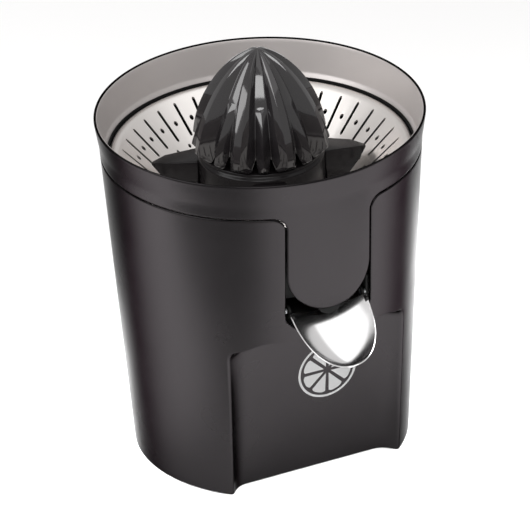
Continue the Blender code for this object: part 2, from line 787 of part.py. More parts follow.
def build_spout():
    loops = []
    for row in range(SPOUT_ROWS + 1):
        along = row / SPOUT_ROWS
        inner = []
        outer = []
        for column in range(SPOUT_COLUMNS + 1):
            across = 2 * column / SPOUT_COLUMNS - 1
            point = spout_point(along, across)
            inner.append(tuple(point))
            outer.append(tuple(point + spout_normal(along, across) * SPOUT_THICKNESS * SPOUT_SIDE))
        loops.append(inner + outer[::-1])
    spout = loft("spout", loops, "polished_steel", SPOUT_PIVOT)
    for side in (-1, 1):
        name = "left" if side < 0 else "right"
        near, far = sorted((side * 20.4, side * 22.9))
        add(spout, rod(f"spout_boss_{name}", 3.2, near, far, at=SPOUT_PIVOT, segments=20, axis="X"))
        near, far = sorted((side * 20.2, side * 21.9))
        add(spout, block(f"spout_arm_{name}", (near, -80.0, 111.0), (far, -72.6, 114.0)))
    cut(spout, rod("spout_pin_bore", 1.7, -30, 30, at=SPOUT_PIVOT, segments=16, axis="X"))
    for side in (-1, 1):
        name = "left" if side < 0 else "right"
        near, far = sorted((side * 20.8, side * 25.8))
        rod(f"spout_pin_{name}", 1.4, near, far, "zinc", SPOUT_PIVOT, 16, "X")


SPOUT_SIDE = 1.0

# Strainer ---------------------------------------------------------------------------------------------------------------
STRAINER_SLOTS = 36
STRAINER_SLOT_WIDTH = 1.5
STRAINER_HOLE = 1.0


def build_strainer():
    profile = [
        # upper face, from the skirt over the rolled lip and down the cone to the centre hole
        (79.9, 166.3),
        (79.9, 171.0),
        (78.8, 172.5),
        (76.2, 172.5),
        (74.4, 171.6),
        (52.4, 150.6),
        (48.4, 148.8),
        (12.4, 148.8),
        # lower face, back out to the skirt
        (12.4, 148.0),
        (48.7, 148.0),
        (52.9, 150.0),
        (74.9, 171.0),
        (76.4, 171.7),
        (78.5, 171.6),
        (79.1, 166.3),
    ]
    strainer = turned("strainer", profile, "stainless", segments=2 * STRAINER_SLOTS)
    inner, outer = 58.7, 73.4
    half = STRAINER_SLOT_WIDTH / 2
    slot = [(inner, -half), (outer, -half), (outer, half), (inner, half)]
    slots = []
    for number in range(STRAINER_SLOTS):
        slots.append(((number + 0.25) * 360 / STRAINER_SLOTS, slot))
        middle = [(65.5 + x, y) for x, y in polygon(STRAINER_HOLE, 6, 30.0)]
        slots.append(((number + 0.75) * 360 / STRAINER_SLOTS, middle))
    cut(strainer, punch("strainer_punch", slots, 140, 176))


def punch(name, holes, low, high):
    """One cutter of many separate prisms, each an (x, y) outline turned about the axis by its angle."""
    points = []
    faces = []
    for angle, outline in holes:
        turn = Matrix.Rotation(math.radians(angle), 3, "Z")
        start = len(points)
        count = len(outline)
        for height in (low, high):
            points += [tuple(turn @ Vector((x, y, height))) for x, y in outline]
        for i in range(count):
            j = (i + 1) % count
            faces.append((start + i, start + j, start + count + j, start + count + i))
        faces.append(tuple(range(start, start + count)))
        faces.append(tuple(range(start + count, start + 2 * count)))
    return place(name, mesh_from(name, points, faces), None, (0, 0, 0))


# Sweeper ----------------------------------------------------------------------------------------------------------------
PADDLE_ANGLES = (-5.0, 148.0, 252.0)
SWEEPER_LOW = 149.6
SWEEPER_TOP = 171.3


def hull(name, points):
    shape = bmesh.new()
    for point in points:
        shape.verts.new(Vector(point) * MM)
    bmesh.ops.convex_hull(shape, input=shape.verts)
    bmesh.ops.recalc_face_normals(shape, faces=shape.faces)
    mesh = bpy.data.meshes.new(name)
    shape.to_mesh(mesh)
    shape.free()
    return place(name, mesh, None, (0, 0, 0))


def build_sweeper():
    """Skirted ring under the cone, with three paddles that move the pulp over the strainer."""
    profile = [
        (33.5, SWEEPER_LOW),
        (33.5, 168.5),
        (31.6, 169.8),
        (31.6, SWEEPER_TOP),
        (14.0, SWEEPER_TOP),
        (14.0, SWEEPER_LOW),
        (15.6, SWEEPER_LOW),
        (15.6, 169.5),
        (30.2, 169.5),
        (31.9, 167.6),
        (31.9, SWEEPER_LOW),
    ]
    sweeper = turned("sweeper", profile, "gloss_black", segments=48)
    half_paddle = [
        (32.3, 12.0, 150.2),
        (45.5, 9.0, 150.2),
        (53.0, 6.5, 156.5),
        (32.3, 9.0, 166.5),
        (52.0, 5.0, 163.0),
        (59.0, 1.2, 160.5),
    ]
    for number, angle in enumerate(PADDLE_ANGLES, 1):
        turn = Matrix.Rotation(math.radians(angle), 3, "Z")
        points = [turn @ Vector((x, side * y, z)) for x, y, z in half_paddle for side in (-1, 1)]
        add(sweeper, hull(f"paddle_{number}", points))


# Drive hub and reamer cone ----------------------------------------------------------------------------------------------
HUB_LEVELS = (161.3, 187.5)
HUB_CORNERS = 9.6
SOCKET_CORNERS = 10.1
SOCKET_WALL = 1.9
CONE_RIBS = 8
CONE_POINTS = 8
CONE_ROWS = 9


def build_drive_hub():
    hub = prism("drive_hub", polygon(HUB_CORNERS, 8), *HUB_LEVELS, "black_plastic")
    cut(hub, prism("hub_hex", hexagon(SHAFT_FLATS + 0.5), 150, SHAFT_TOP + 0.5))


def cone_crest(height_share):
    return CONE_RADIUS * (1 - height_share**1.75) ** 0.655


def cone_outline(row):
    """One level of the cone: eight tall ribs with flat crests and, lower down, eight short ones between them."""
    share = math.sin(row / CONE_ROWS * math.pi / 2) * 0.985
    crest = cone_crest(share)
    valley = crest * (0.88 - 0.05 * share)
    second = valley + (crest - valley) * max(0.0, 1 - share * 1.9) * 0.85
    levels = (crest, crest, valley, valley, second, second, valley, valley)
    places = (-0.09, 0.09, 0.2, 0.38, 0.46, 0.54, 0.62, 0.8)
    loop = []
    for rib in range(CONE_RIBS):
        for radius, place_share in zip(levels, places):
            angle = 2 * math.pi * (rib + place_share) / CONE_RIBS
            loop.append((radius * math.cos(angle), radius * math.sin(angle), CONE_BASE + CONE_HEIGHT * share))
    return loop


def build_reamer_cone():
    cone = loft("reamer_cone", [cone_outline(row) for row in range(CONE_ROWS + 1)], "gloss_black")
    hollow_profile = [(0, 160), (32.3, 160), (32.3, CONE_BASE + 0.01)]
    for step in range(1, 7):
        share = 0.8 * step / 6
        hollow_profile.append((cone_crest(share) * 0.8 - 2.4, CONE_BASE + CONE_HEIGHT * share - 2.0))
    hollow_profile.append((0, CONE_BASE + CONE_HEIGHT * 0.8 - 1.0))
    hollow = turned("cone_hollow", hollow_profile, segments=32)
    low = CONE_BASE
    socket = prism("cone_socket", polygon(SOCKET_CORNERS + SOCKET_WALL, 8), low, 240)
    cut(socket, prism("cone_socket_bore", polygon(SOCKET_CORNERS, 8), 150, HUB_LEVELS[1] + FIT_GAP))
    cut(hollow, socket)
    cut(cone, hollow)


def main():
    clear_scene()
    build_housing()
    build_base_cover()
    build_feet()
    build_cover_screws()
    build_cord_gland()
    build_deck()
    build_shaft_seal()
    build_gearbox_frame()
    build_bearing_bridge()
    build_switch()
    build_motor()
    build_gear_train()
    build_drive_shaft()
    build_return_spring()
    build_collector_shell()
    build_collector_liner()
    build_juice_bowl()
    build_spout()
    build_strainer()
    build_sweeper()
    build_drive_hub()
    build_reamer_cone()


main()
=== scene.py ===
"""Electric citrus press: the visual model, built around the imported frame.

Lengths are in millimetres unless a comment says otherwise, and heights are measured from the table.
"""

import json
import math

import bmesh
import bpy
import numpy as np
from mathutils import Matrix, Vector
from mathutils.geometry import delaunay_2d_cdt


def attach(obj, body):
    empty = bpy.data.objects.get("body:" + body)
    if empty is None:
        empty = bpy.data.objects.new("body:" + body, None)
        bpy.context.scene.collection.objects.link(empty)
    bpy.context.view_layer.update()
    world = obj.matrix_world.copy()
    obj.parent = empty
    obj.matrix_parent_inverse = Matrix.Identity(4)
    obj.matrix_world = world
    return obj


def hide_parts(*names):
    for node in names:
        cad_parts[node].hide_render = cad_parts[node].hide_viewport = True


MM = 0.001

# Camera: angles in degrees, distance and target height in millimetres ---------------------------------------
CAMERA_AZIMUTH = -24.46
CAMERA_ELEVATION = 28.61
CAMERA_ROLL = -2.17
CAMERA_DISTANCE = 2807.0
CAMERA_TARGET = 100.54
CAMERA_LENS = 357.47
CAMERA_SHIFT = -0.0009

# Shared sizes -----------------------------------------------------------------------------------------------
BODY_FOOT_RADIUS = 74.1
BODY_TAPER = 0.0625
BODY_LOW = 1.0
BODY_TOP = 172.4
SHELL_LOW = 172.9
SLOT_HALF_WIDTH = 24.7
SLOT_BOTTOM = 101.8
SLOT_SHOULDER = 6.5
SLOT_CORNER = (22.0, 11.0)
SHOULDER_MARGIN = 3.0
TONGUE_HALF_WIDTH = 23.9
TONGUE_BOTTOM = 114.0
TONGUE_BEND = 137.3
SPOUT_PIVOT = (0, -72.3, 113.7)
HOUSING_WALL = 1.8
SHELL_WALL = 1.1
EDGE_ROUNDING = 0.9
ROUND_SIDES = 224


# Mesh helpers -----------------------------------------------------------------------------------------------
def link(name, mesh):
    """A new object of this mesh in the scene."""
    obj = bpy.data.objects.new(name, mesh)
    bpy.context.scene.collection.objects.link(obj)
    return obj


def mesh_object(name, points, faces, sharp=35.0, outward=True):
    """An object from points in millimetres, shaded smooth up to the angle `sharp`."""
    shape = bmesh.new()
    verts = [shape.verts.new((p[0] * MM, p[1] * MM, p[2] * MM)) for p in points]
    for face in faces:
        if len(set(face)) > 2:
            try:
                shape.faces.new([verts[i] for i in face])
            except ValueError:
                continue
    loose = [v for v in shape.verts if not v.link_faces]
    bmesh.ops.delete(shape, geom=loose, context="VERTS")
    if outward:
        bmesh.ops.recalc_face_normals(shape, faces=shape.faces)
    mesh = bpy.data.meshes.new(name)
    shape.to_mesh(mesh)
    shape.free()
    mesh.shade_smooth()
    mesh.set_sharp_from_angle(angle=math.radians(sharp))
    return link(name, mesh)


def rings_to_faces(count, rows, closed_rows=False):
    """The four-sided faces between successive rings of `count` points."""
    faces = []
    for row in range(rows if closed_rows else rows - 1):
        there = (row + 1) % rows
        for i in range(count):
            j = (i + 1) % count
            faces.append((row * count + i, row * count + j, there * count + j, there * count + i))
    return faces


def turned(name, profile, segments=192, sharp=35.0, closed=True):
    """A ring turned about Z from a (radius, height) outline."""
    points = []
    for radius, height in profile:
        for i in range(segments):
            a = 2 * math.pi * i / segments
            points.append((radius * math.cos(a), radius * math.sin(a), height))
    return mesh_object(name, points, rings_to_faces(segments, len(profile), closed), sharp)


def loft(name, loops, sharp=35.0):
    """A solid through loops of equal length, with both ends capped."""
    count = len(loops[0])
    points = [p for loop in loops for p in loop]
    faces = rings_to_faces(count, len(loops))
    faces.append(tuple(range(count)))
    faces.append(tuple(range(len(points) - count, len(points))))
    return mesh_object(name, points, faces, sharp)


def rounded(profile, radius, steps=4):
    """A closed (radius, height) outline with its corners rounded."""
    result = []
    count = len(profile)
    for i in range(count):
        before = Vector(profile[i - 1])
        here = Vector(profile[i])
        after = Vector(profile[(i + 1) % count])
        to_before = before - here
        to_after = after - here
        reach = min(radius, to_before.length * 0.45, to_after.length * 0.45)
        if reach < 0.02 or abs(to_before.angle(to_after) - math.pi) < 0.12:
            result.append(tuple(here))
            continue
        start = here + to_before.normalized() * reach
        end = here + to_after.normalized() * reach
        for k in range(steps + 1):
            t = k / steps
            result.append(tuple(start * (1 - t) ** 2 + here * 2 * t * (1 - t) + end * t * t))
    return result


def boolean(target, other, operation):
    """Unites the target with another object, or cuts that object out of it; the other object is used up."""
    modifier = target.modifiers.new(operation.lower(), "BOOLEAN")
    modifier.operation = operation
    modifier.solver = "EXACT"
    modifier.object = other
    apply_modifiers(target)
    bpy.data.objects.remove(other, do_unlink=True)


def apply_modifiers(obj, sharp=35.0):
    graph = bpy.context.evaluated_depsgraph_get()
    graph.update()
    mesh = bpy.data.meshes.new_from_object(obj.evaluated_get(graph))
    obj.modifiers.clear()
    obj.data = mesh
    mesh.shade_smooth()
    mesh.set_sharp_from_angle(angle=math.radians(sharp))
    return obj


def bevelled(obj, width, segments=3):
    modifier = obj.modifiers.new("bevel", "BEVEL")
    modifier.width = width * MM
    modifier.segments = segments
    modifier.limit_method = "ANGLE"
    modifier.angle_limit = math.radians(30)
    return apply_modifiers(obj, 40.0)


def block(name, low, high):
    """A box between two opposite corners."""
    corners = [(x, y, z) for z in (low[2], high[2]) for x, y in
               ((low[0], low[1]), (high[0], low[1]), (high[0], high[1]), (low[0], high[1]))]
    return loft(name, [corners[:4], corners[4:]])


def rod_x(name, radius, low, high, at, segments=48):
    """A round bar along X from `low` to `high`, through the point `at`."""
    circle = arc(at[1:], (radius, radius), 0, 360 - 360 / segments, segments - 1)
    return loft(name, [[(x, y, z) for y, z in circle] for x in (low, high)])


def hull(name, points):
    """The convex solid round some points."""
    shape = bmesh.new()
    for point in points:
        shape.verts.new(Vector(point) * MM)
    bmesh.ops.convex_hull(shape, input=shape.verts)
    bmesh.ops.recalc_face_normals(shape, faces=shape.faces)
    mesh = bpy.data.meshes.new(name)
    shape.to_mesh(mesh)
    shape.free()
    return link(name, mesh)


def arc(centre, radius, start, end, steps):
    """Points along part of an ellipse, between two angles in degrees."""
    found = []
    for i in range(steps + 1):
        a = math.radians(start + (end - start) * i / steps)
        found.append((centre[0] + radius[0] * math.cos(a), centre[1] + radius[1] * math.sin(a)))
    return found


def resampled(line, step):
    """A polyline cut into steps of about the same length."""
    line = [Vector(p) for p in line]
    lengths = [0.0]
    for a, b in zip(line, line[1:]):
        lengths.append(lengths[-1] + (b - a).length)
    count = max(2, round(lengths[-1] / step))
    wanted = np.linspace(0, lengths[-1], count + 1)
    xs = np.interp(wanted, lengths, [p[0] for p in line])
    ys = np.interp(wanted, lengths, [p[1] for p in line])
    return list(zip(xs, ys))


# Curved sheets with a shaped edge ---------------------------------------------------------------------------
# A sheet is laid out flat, with the way round the body as an angle times this radius, and then wrapped
SHEET_METRIC = 80.0
# upright grid lines: half a degree apart up to this angle to each side of the front, and wider apart behind
FRONT_ANGLE = 58.0
FRONT_STEP = 0.5
BACK_COLUMNS = 110
# lines along the edge: one at each share of its rounding, one past it, and then the grid
EDGE_STEP = 0.7
EDGE_SHARES = (0.0, 0.12, 0.3, 0.55, 0.8, 1.05)
EDGE_MARGIN = 0.7
GRID_MARGIN = 0.25


def sheet_radius(z):
    """The body's outside radius at a height."""
    return BODY_FOOT_RADIUS + BODY_TAPER * z


def to_flat(x, z):
    """The unrolled place of the point in front, on the tapered body, that lies at that x and height."""
    return SHEET_METRIC * math.asin(max(-1.0, min(1.0, x / sheet_radius(z)))), z


def edge_normals(line):
    """Unit vectors to the right of the line's direction."""
    tangent = np.gradient(line, axis=0)
    tangent /= np.linalg.norm(tangent, axis=1)[:, None]
    return np.stack([tangent[:, 1], -tangent[:, 0]], axis=1)


def edge_loops(line, keep_side, offsets):
    """Copies of the edge line, moved into the material, which all still reach the middle of the back."""
    normals = edge_normals(line) * keep_side
    back = SHEET_METRIC * math.pi
    loops = []
    for offset in offsets:
        loop = line + normals * offset
        loop[0, 0], loop[-1, 0] = -back, back
        loops.append(loop)
    return loops


def sheet_columns():
    """Unrolled places of the upright grid lines: close in front, where the cut-outs are, and wider behind."""
    front = np.radians(np.arange(-FRONT_ANGLE, FRONT_ANGLE + 0.01, FRONT_STEP))
    behind = np.radians(np.linspace(FRONT_ANGLE, 360 - FRONT_ANGLE, BACK_COLUMNS)[1:-1])
    behind = np.where(behind > math.pi, behind - 2 * math.pi, behind)
    return np.sort(np.concatenate([front, behind, [-math.pi, math.pi]])) * SHEET_METRIC


def close_and_turn_outwards(mesh):
    """Joins the sheet at the middle of its back and makes its normals point away from the axis."""
    shape = bmesh.new()
    shape.from_mesh(mesh)
    bmesh.ops.remove_doubles(shape, verts=shape.verts, dist=0.01 * MM)
    outwards = 0
    for face in shape.faces:
        middle = face.calc_center_median()
        outwards += face.normal.dot(Vector((middle.x, middle.y, 0))) * face.calc_area()
    if outwards < 0:
        bmesh.ops.reverse_faces(shape, faces=shape.faces)
    shape.to_mesh(mesh)
    shape.free()


def shaped_sheet(name, edge, keep_side, rows, surface, rounding, thickness, sharp=40.0):
    """A sheet wrapped round the body, whose one long edge follows the line `edge`.

    The line runs from one side of the back to the other in unrolled coordinates. keep_side is +1 for material
    to the right of the line and -1 for material to its left.
    """
    line = np.array(edge)
    offsets = [rounding * share for share in EDGE_SHARES]
    offsets.append(offsets[-1] + EDGE_MARGIN)
    loops = edge_loops(line, keep_side, offsets)
    grid = np.array([(u, z) for z in rows for u in sheet_columns()])
    nearest, side = distance_to(line, grid)
    grid = grid[(side * keep_side > 0) & (nearest > offsets[-1] + GRID_MARGIN)]
    points = np.concatenate(loops + [grid])
    count = len(edge)
    edges = [(k * count + i, k * count + i + 1) for k in range(len(loops)) for i in range(count - 1)]
    verts, _, faces, _, _, _ = delaunay_2d_cdt([Vector(p) for p in points], edges, [], 0, 1e-6)
    flat = np.array([tuple(v) for v in verts])
    centres = np.array([flat[list(face)].mean(axis=0) for face in faces])
    side = distance_to(line, centres)[1]
    kept = [face for face, good in zip(faces, side * keep_side > 0) if good]
    depth = np.minimum(distance_to(line, flat)[0], rounding)
    drop = rounding - np.sqrt(np.maximum(rounding**2 - (rounding - depth) ** 2, 0.0))
    obj = mesh_object(name, surface(flat[:, 0] / SHEET_METRIC, flat[:, 1], drop), kept, sharp, outward=False)
    close_and_turn_outwards(obj.data)
    solid = obj.modifiers.new("thickness", "SOLIDIFY")
    solid.thickness = thickness * MM
    solid.offset = -1
    return apply_modifiers(obj, sharp)


def distance_to(line, points):
    """Distance of each point to a polyline, and on which side it lies: +1 to the right of its direction."""
    best = np.full(len(points), 1e9)
    side = np.ones(len(points))
    a = line[:-1]
    d = line[1:] - a
    length2 = (d**2).sum(axis=1)
    batch = 4000
    for start in range(0, len(points), batch):
        p = points[start:start + batch, None, :] - a[None]
        t = np.clip((p * d[None]).sum(axis=2) / length2[None], 0, 1)
        gap = p - t[..., None] * d[None]
        dist = np.hypot(gap[..., 0], gap[..., 1])
        k = dist.argmin(axis=1)
        rows = np.arange(len(k))
        best[start:start + batch] = dist[rows, k]
        cross = d[k, 0] * p[rows, k, 1] - d[k, 1] * p[rows, k, 0]
        side[start:start + batch] = -np.sign(cross)
    return best, side


def front_edge(half, side_level):
    """The whole edge line, from the half outline (x, z) in front, which starts at the side and ends at x = 0.

    Beyond the outline the edge stays at side_level all the way to the middle of the back.
    """
    full = [(-x, z) for x, z in half] + [(x, z) for x, z in reversed(half[:-1])]
    flat = [to_flat(x, z) for x, z in full]
    middle = resampled(flat, EDGE_STEP)
    back = SHEET_METRIC * math.pi
    side_points = 90
    left = [(u, side_level) for u in np.linspace(-back, middle[0][0], side_points)][:-1]
    right = [(u, side_level) for u in np.linspace(middle[-1][0], back, side_points)][1:]
    return left + middle + right


# Housing ----------------------------------------------------------------------------------------------------
RECESS_FLOOR = 48.0
RECESS_LEAN = 0.1
RECESS_HALF_WIDTH = 37.5
RECESS_TOP = 90.0
RECESS_CORNER = 7.0
RECESS_BLEND = 2.2
RECESS_END = 108.0
FOOT_ROUNDING = 0.8
# the recess's side walls curl forward to this depth, less so higher up
SIDE_REACH = 12.0
SIDE_POWER = 2.2
SIDE_DEPTH = (8.7, 0.062)
# the recess's top wall: how deep it stands at each distance beyond the flat floor
TOP_WALL = ((0, 0), (1.2, 0.14), (2.4, 0.6), (3.6, 1.6), (4.6, 3.0), (5.4, 4.8), (6.0, 7.0), (6.6, 11),
            (7.2, 18), (7.8, 30), (12, 130))


def recess_depth(x, z):
    """How far forward of the recess floor the wall of the recess stands."""
    across = np.abs(x) - (RECESS_HALF_WIDTH - RECESS_CORNER)
    up = z - (RECESS_TOP - RECESS_CORNER)
    out_across = np.maximum(across, 0)
    out_up = np.maximum(up, 0)
    outside = np.hypot(out_across, out_up) + np.minimum(np.maximum(across, up), 0)
    away = np.maximum(outside - RECESS_CORNER, 0)
    share = np.where(outside > 0, (out_up / np.maximum(np.hypot(out_across, out_up), 1e-9)) ** 4, 0)
    side = (SIDE_DEPTH[0] - SIDE_DEPTH[1] * np.clip(z, 0, RECESS_TOP)) * (away / SIDE_REACH) ** SIDE_POWER
    top = np.interp(away, *zip(*TOP_WALL))
    return side * (1 - share) + top * share


def smooth_max(a, b, reach):
    """The larger of the two, with the change from one to the other blended over `reach`."""
    h = np.clip(0.5 + 0.5 * (a - b) / reach, 0, 1)
    return b * (1 - h) + a * h + reach * h * (1 - h)


def housing_surface(angle, z, drop):
    """Places on the outside of the housing; `drop` is how far a rounded edge falls back there."""
    foot = np.clip((BODY_LOW + FOOT_ROUNDING - z) / FOOT_ROUNDING, 0, 1)
    radius = sheet_radius(z) - drop - FOOT_ROUNDING * (1 - np.sqrt(1 - foot**2))
    x = radius * np.sin(angle)
    y = -radius * np.cos(angle)
    front = (np.abs(angle) < math.radians(FRONT_ANGLE)) & (z < RECESS_END)
    recess = -RECESS_FLOOR - RECESS_LEAN * z - recess_depth(x, z)
    y = np.where(front, smooth_max(y, recess, RECESS_BLEND), y)
    return np.stack([x, y, z], axis=1)


def build_housing():
    flare = SLOT_HALF_WIDTH + SLOT_SHOULDER
    half = [(flare + SHOULDER_MARGIN, BODY_TOP)]
    half += arc((flare, BODY_TOP - SLOT_SHOULDER), (SLOT_SHOULDER,) * 2, 90, 180, 16)
    corner = (SLOT_HALF_WIDTH - SLOT_CORNER[0], SLOT_BOTTOM + SLOT_CORNER[1])
    half += arc(corner, SLOT_CORNER, 0, -90, 16)
    half.append((0, SLOT_BOTTOM))
    edge = front_edge(half, BODY_TOP)
    foot_rows = BODY_LOW + np.array((0, 0.1, 0.25, 0.45, 0.8))
    recess_top_rows = np.arange(84.5, 101, 0.33)
    rows = [*foot_rows, *np.arange(3.5, 84, 2.5), *recess_top_rows, *np.arange(102, BODY_TOP + 1, 2.5)]
    housing = shaped_sheet("housing_skin", edge, 1, rows, housing_surface, EDGE_ROUNDING, HOUSING_WALL)
    paint(housing, "anthracite")
    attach(housing, "base")
    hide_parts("housing")


# Collector shell --------------------------------------------------------------------------------------------
# (height, radius): the body's taper up to the crease, then the wider rim with its rolled edge
SHELL_PROFILE = ((100, sheet_radius(100)), (178.0, sheet_radius(178.0)), (180.0, 85.42), (184.5, 86.2),
                 (188.5, 86.83), (191.2, 87.2), (192.2, 87.38), (192.8, 87.36), (193.2, 87.2),
                 (193.42, 86.95), (193.5, 86.6))


def shell_surface(angle, z, drop):
    """Places on the outside of the collector band; `drop` is how far a rounded edge falls back there."""
    levels, radii = zip(*SHELL_PROFILE)
    radius = np.interp(z, levels, radii) - drop
    return np.stack([radius * np.sin(angle), -radius * np.cos(angle), z], axis=1)


def build_shell():
    flare = SLOT_HALF_WIDTH + SLOT_SHOULDER
    shoulder = flare - TONGUE_HALF_WIDTH
    half = [(flare + SHOULDER_MARGIN, SHELL_LOW)]
    half += arc((flare, SHELL_LOW - shoulder), (shoulder,) * 2, 90, 180, 16)
    half += arc((0, TONGUE_BEND), (TONGUE_HALF_WIDTH, TONGUE_BEND - TONGUE_BOTTOM), 0, -90, 40)
    half[-1] = (0, TONGUE_BOTTOM)
    edge = front_edge(half, SHELL_LOW)
    crease_rows = np.arange(174.2, 183, 0.6)
    rim_rows = (184.5, 186.5, 188.5, 190, 191.2, 191.8, 192.2, 192.55, 192.8, 193.02, 193.2, 193.34, 193.42,
                193.47, 193.5)
    rows = [*np.arange(116, 172, 2.5), *crease_rows, *rim_rows]
    shell = shaped_sheet("collector_shell_skin", edge, -1, rows, shell_surface, EDGE_ROUNDING, SHELL_WALL)
    paint(shell, "anthracite")
    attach(shell, "collector")
    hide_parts("collector_shell")


# Liner and juice bowl ---------------------------------------------------------------------------------------
LIP_CENTRE = 117.5
LIP_SIZE = (7.2, 7.8)
LIP_FRONT = -79.1
LIP_BACK = -76.0
EAR_SIDES = (23.3, 25.2)
EAR_BORE = 1.8


def build_liner():
    """The light wall inside the band, from just under the rim down to the ledge of the bowl."""
    outer = [(86.2, 192.6), (85.0, 184.5), (84.0, 178.5), (83.7, 174.8), (82.2, 173.0), (82.2, 166.2)]
    inner = [(81.2, 166.2), (81.2, 172.6), (82.9, 175.2), (83.3, 178.5), (84.2, 184.5), (85.3, 191.6),
             (85.75, 192.9)]
    liner = turned("liner_wall", rounded(outer + inner, 0.8), ROUND_SIDES)
    paint(liner, "inner_wall")
    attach(liner, "collector")
    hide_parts("collector_liner")


def build_bowl():
    """The black bowl under the strainer, with its chimney, outlet duct, lip and the ears for the spout, and a
    thin black band of painted shade in the gap under the light wall.
    """
    outer = [(82.1, 165.8), (82.1, 164.9), (77.8, 164.2), (74.4, 128.0), (71.6, 119.0), (66.5, 116.4),
             (10.0, 117.2), (10.0, 158.5), (11.6, 158.5), (11.6, 119.2), (13.0, 118.9)]
    inner = [(66.0, 118.0), (70.4, 120.4), (72.2, 124.0), (73.0, 128.0), (76.4, 165.0), (77.2, 165.8)]
    # this ring is painted shade: a thin black band just inside the liner's foot that fills the gap between
    # the light wall and the strainer's lip, where only shadow lies
    seal = [(80.35, 165.2), (81.0, 165.2), (81.0, 173.1), (80.35, 173.1)]
    bowl = turned("bowl_body", rounded(outer + inner, 1.0), ROUND_SIDES)
    boolean(bowl, turned("seal", seal, ROUND_SIDES), "UNION")
    boolean(bowl, block("duct", (-12, -77, 116.8), (12, -66, 129.2)), "UNION")
    lip = arc((0, LIP_CENTRE), LIP_SIZE, -180, 0, 24)
    lip_loops = [[(x, y, z) for x, z in lip] for y in (LIP_FRONT, LIP_BACK)]
    boolean(bowl, bevelled(loft("lip", lip_loops), 0.35), "UNION")
    boolean(bowl, block("channel", (-10.2, -79.2, 118.3), (10.2, -58, 127.5)), "DIFFERENCE")
    for side in (-1, 1):
        near, far = sorted(side * x for x in EAR_SIDES)
        ear = bevelled(block("ear", (near, -74.2, 109.5), (far, -66, 124)), 0.5)
        boolean(bowl, ear, "UNION")
    boolean(bowl, rod_x("ear_bore", EAR_BORE, -30, 30, SPOUT_PIVOT), "DIFFERENCE")
    # the bowl's extra-dark, dull black is partly its own black and partly painted shade inside it and its
    # duct
    paint(bowl, "inner_black")
    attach(bowl, "collector")
    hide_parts("juice_bowl")


# Strainer ---------------------------------------------------------------------------------------------------
SLOT_COUNT = 38
SLOT_WIDTH = 1.7
SLOT_ENDS = (58.7, 73.4)
# distance from the axis, radius and sides of each kind of round hole
RIM_HOLE = (65.6, 1.15, 12)
WALL_HOLE = (55.4, 0.9, 8)
FLOOR_HOLE = (42.0, 0.8, 8)
FLOOR_HOLES = 24


def stadium(low, high, half, steps=5):
    """A slot's outline along the X axis, with round ends."""
    outline = arc((high - half, 0), (half, half), -90, 90, steps)
    outline += arc((low + half, 0), (half, half), 90, 270, steps)
    return outline


def round_hole(distance, radius, sides):
    return arc((distance, 0), (radius, radius), 0, 360 - 360 / sides, sides - 1)


def punch(holes, low, high):
    """One cutter for all the holes, each an outline turned about Z by its angle."""
    points, faces = [], []
    for angle, outline in holes:
        c, s = math.cos(angle), math.sin(angle)
        start, count = len(points), len(outline)
        for height in (low, high):
            points += [(c * x - s * y, s * x + c * y, height) for x, y in outline]
        for i in range(count):
            j = (i + 1) % count
            faces.append((start + i, start + j, start + count + j, start + count + i))
        faces.append(tuple(range(start, start + count)))
        faces.append(tuple(range(start + count, start + 2 * count)))
    return mesh_object("punch", points, faces)


def build_strainer():
    upper = [(79.9, 166.4), (79.9, 170.6), (79.5, 171.6), (78.7, 172.3), (77.4, 172.55), (76.3, 172.4),
             (75.1, 171.8), (74.0, 170.9), (53.2, 150.9), (51.0, 149.4), (48.4, 148.8), (12.4, 148.8)]
    lower = [(12.4, 148.2), (48.6, 148.2), (51.4, 148.9), (53.7, 150.4), (74.5, 170.3), (75.6, 171.1),
             (76.5, 171.6), (77.4, 171.8), (78.4, 171.6), (79.1, 171.0), (79.3, 170.3), (79.3, 166.4)]
    dish = turned("strainer_dish", rounded(upper + lower, 0.5, 2), 228)
    step = 2 * math.pi / SLOT_COUNT
    holes = []
    for i in range(SLOT_COUNT):
        holes.append((i * step, stadium(*SLOT_ENDS, SLOT_WIDTH / 2)))
        holes.append(((i + 0.5) * step, round_hole(*RIM_HOLE)))
        holes.append(((i + 0.5) * step, round_hole(*WALL_HOLE)))
    for i in range(FLOOR_HOLES):
        holes.append((2 * math.pi * i / FLOOR_HOLES, round_hole(*FLOOR_HOLE)))
    boolean(dish, punch(holes, 140, 180), "DIFFERENCE")
    paint(dish, "stainless")
    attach(dish, "strainer_basket")
    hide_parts("strainer")


# Spout ------------------------------------------------------------------------------------------------------
SPOUT_ROOT = Vector((0, -76.2, 114.1))
SPOUT_SLOPE = math.radians(37.5)
SPOUT_HALF_WIDTH = 22.2
SPOUT_STRAIGHT = 1.4
SPOUT_SCOOP = 36.0
SPOUT_DEPTH = 5.8
SPOUT_THICKNESS = 0.65
SPOUT_ROUNDNESS = 2.2
ARM_SIDES = (20.4, 22.0)
ARM_RADIUS = 3.2
ARM_BORE = 1.7


def spout_point(along, across):
    """A point on the inside of the scoop: `along` runs 0 to 1 from root to tip, `across` -1 to 1."""
    reach = (SPOUT_STRAIGHT + SPOUT_SCOOP) * math.sin(along * math.pi / 2)
    inside = max(0.0, reach - SPOUT_STRAIGHT) / SPOUT_SCOOP
    share = max(1 - inside**SPOUT_ROUNDNESS, 0.0) ** (1 / SPOUT_ROUNDNESS)
    bend = math.sin(across * math.pi / 2)
    depth = SPOUT_DEPTH * share**0.75 * (1 - abs(bend) ** 2.2)
    forward = Vector((0, -math.cos(SPOUT_SLOPE), -math.sin(SPOUT_SLOPE)))
    down = Vector((0, math.sin(SPOUT_SLOPE), -math.cos(SPOUT_SLOPE)))
    return SPOUT_ROOT + forward * reach + down * depth + Vector((SPOUT_HALF_WIDTH * share * bend, 0, 0))


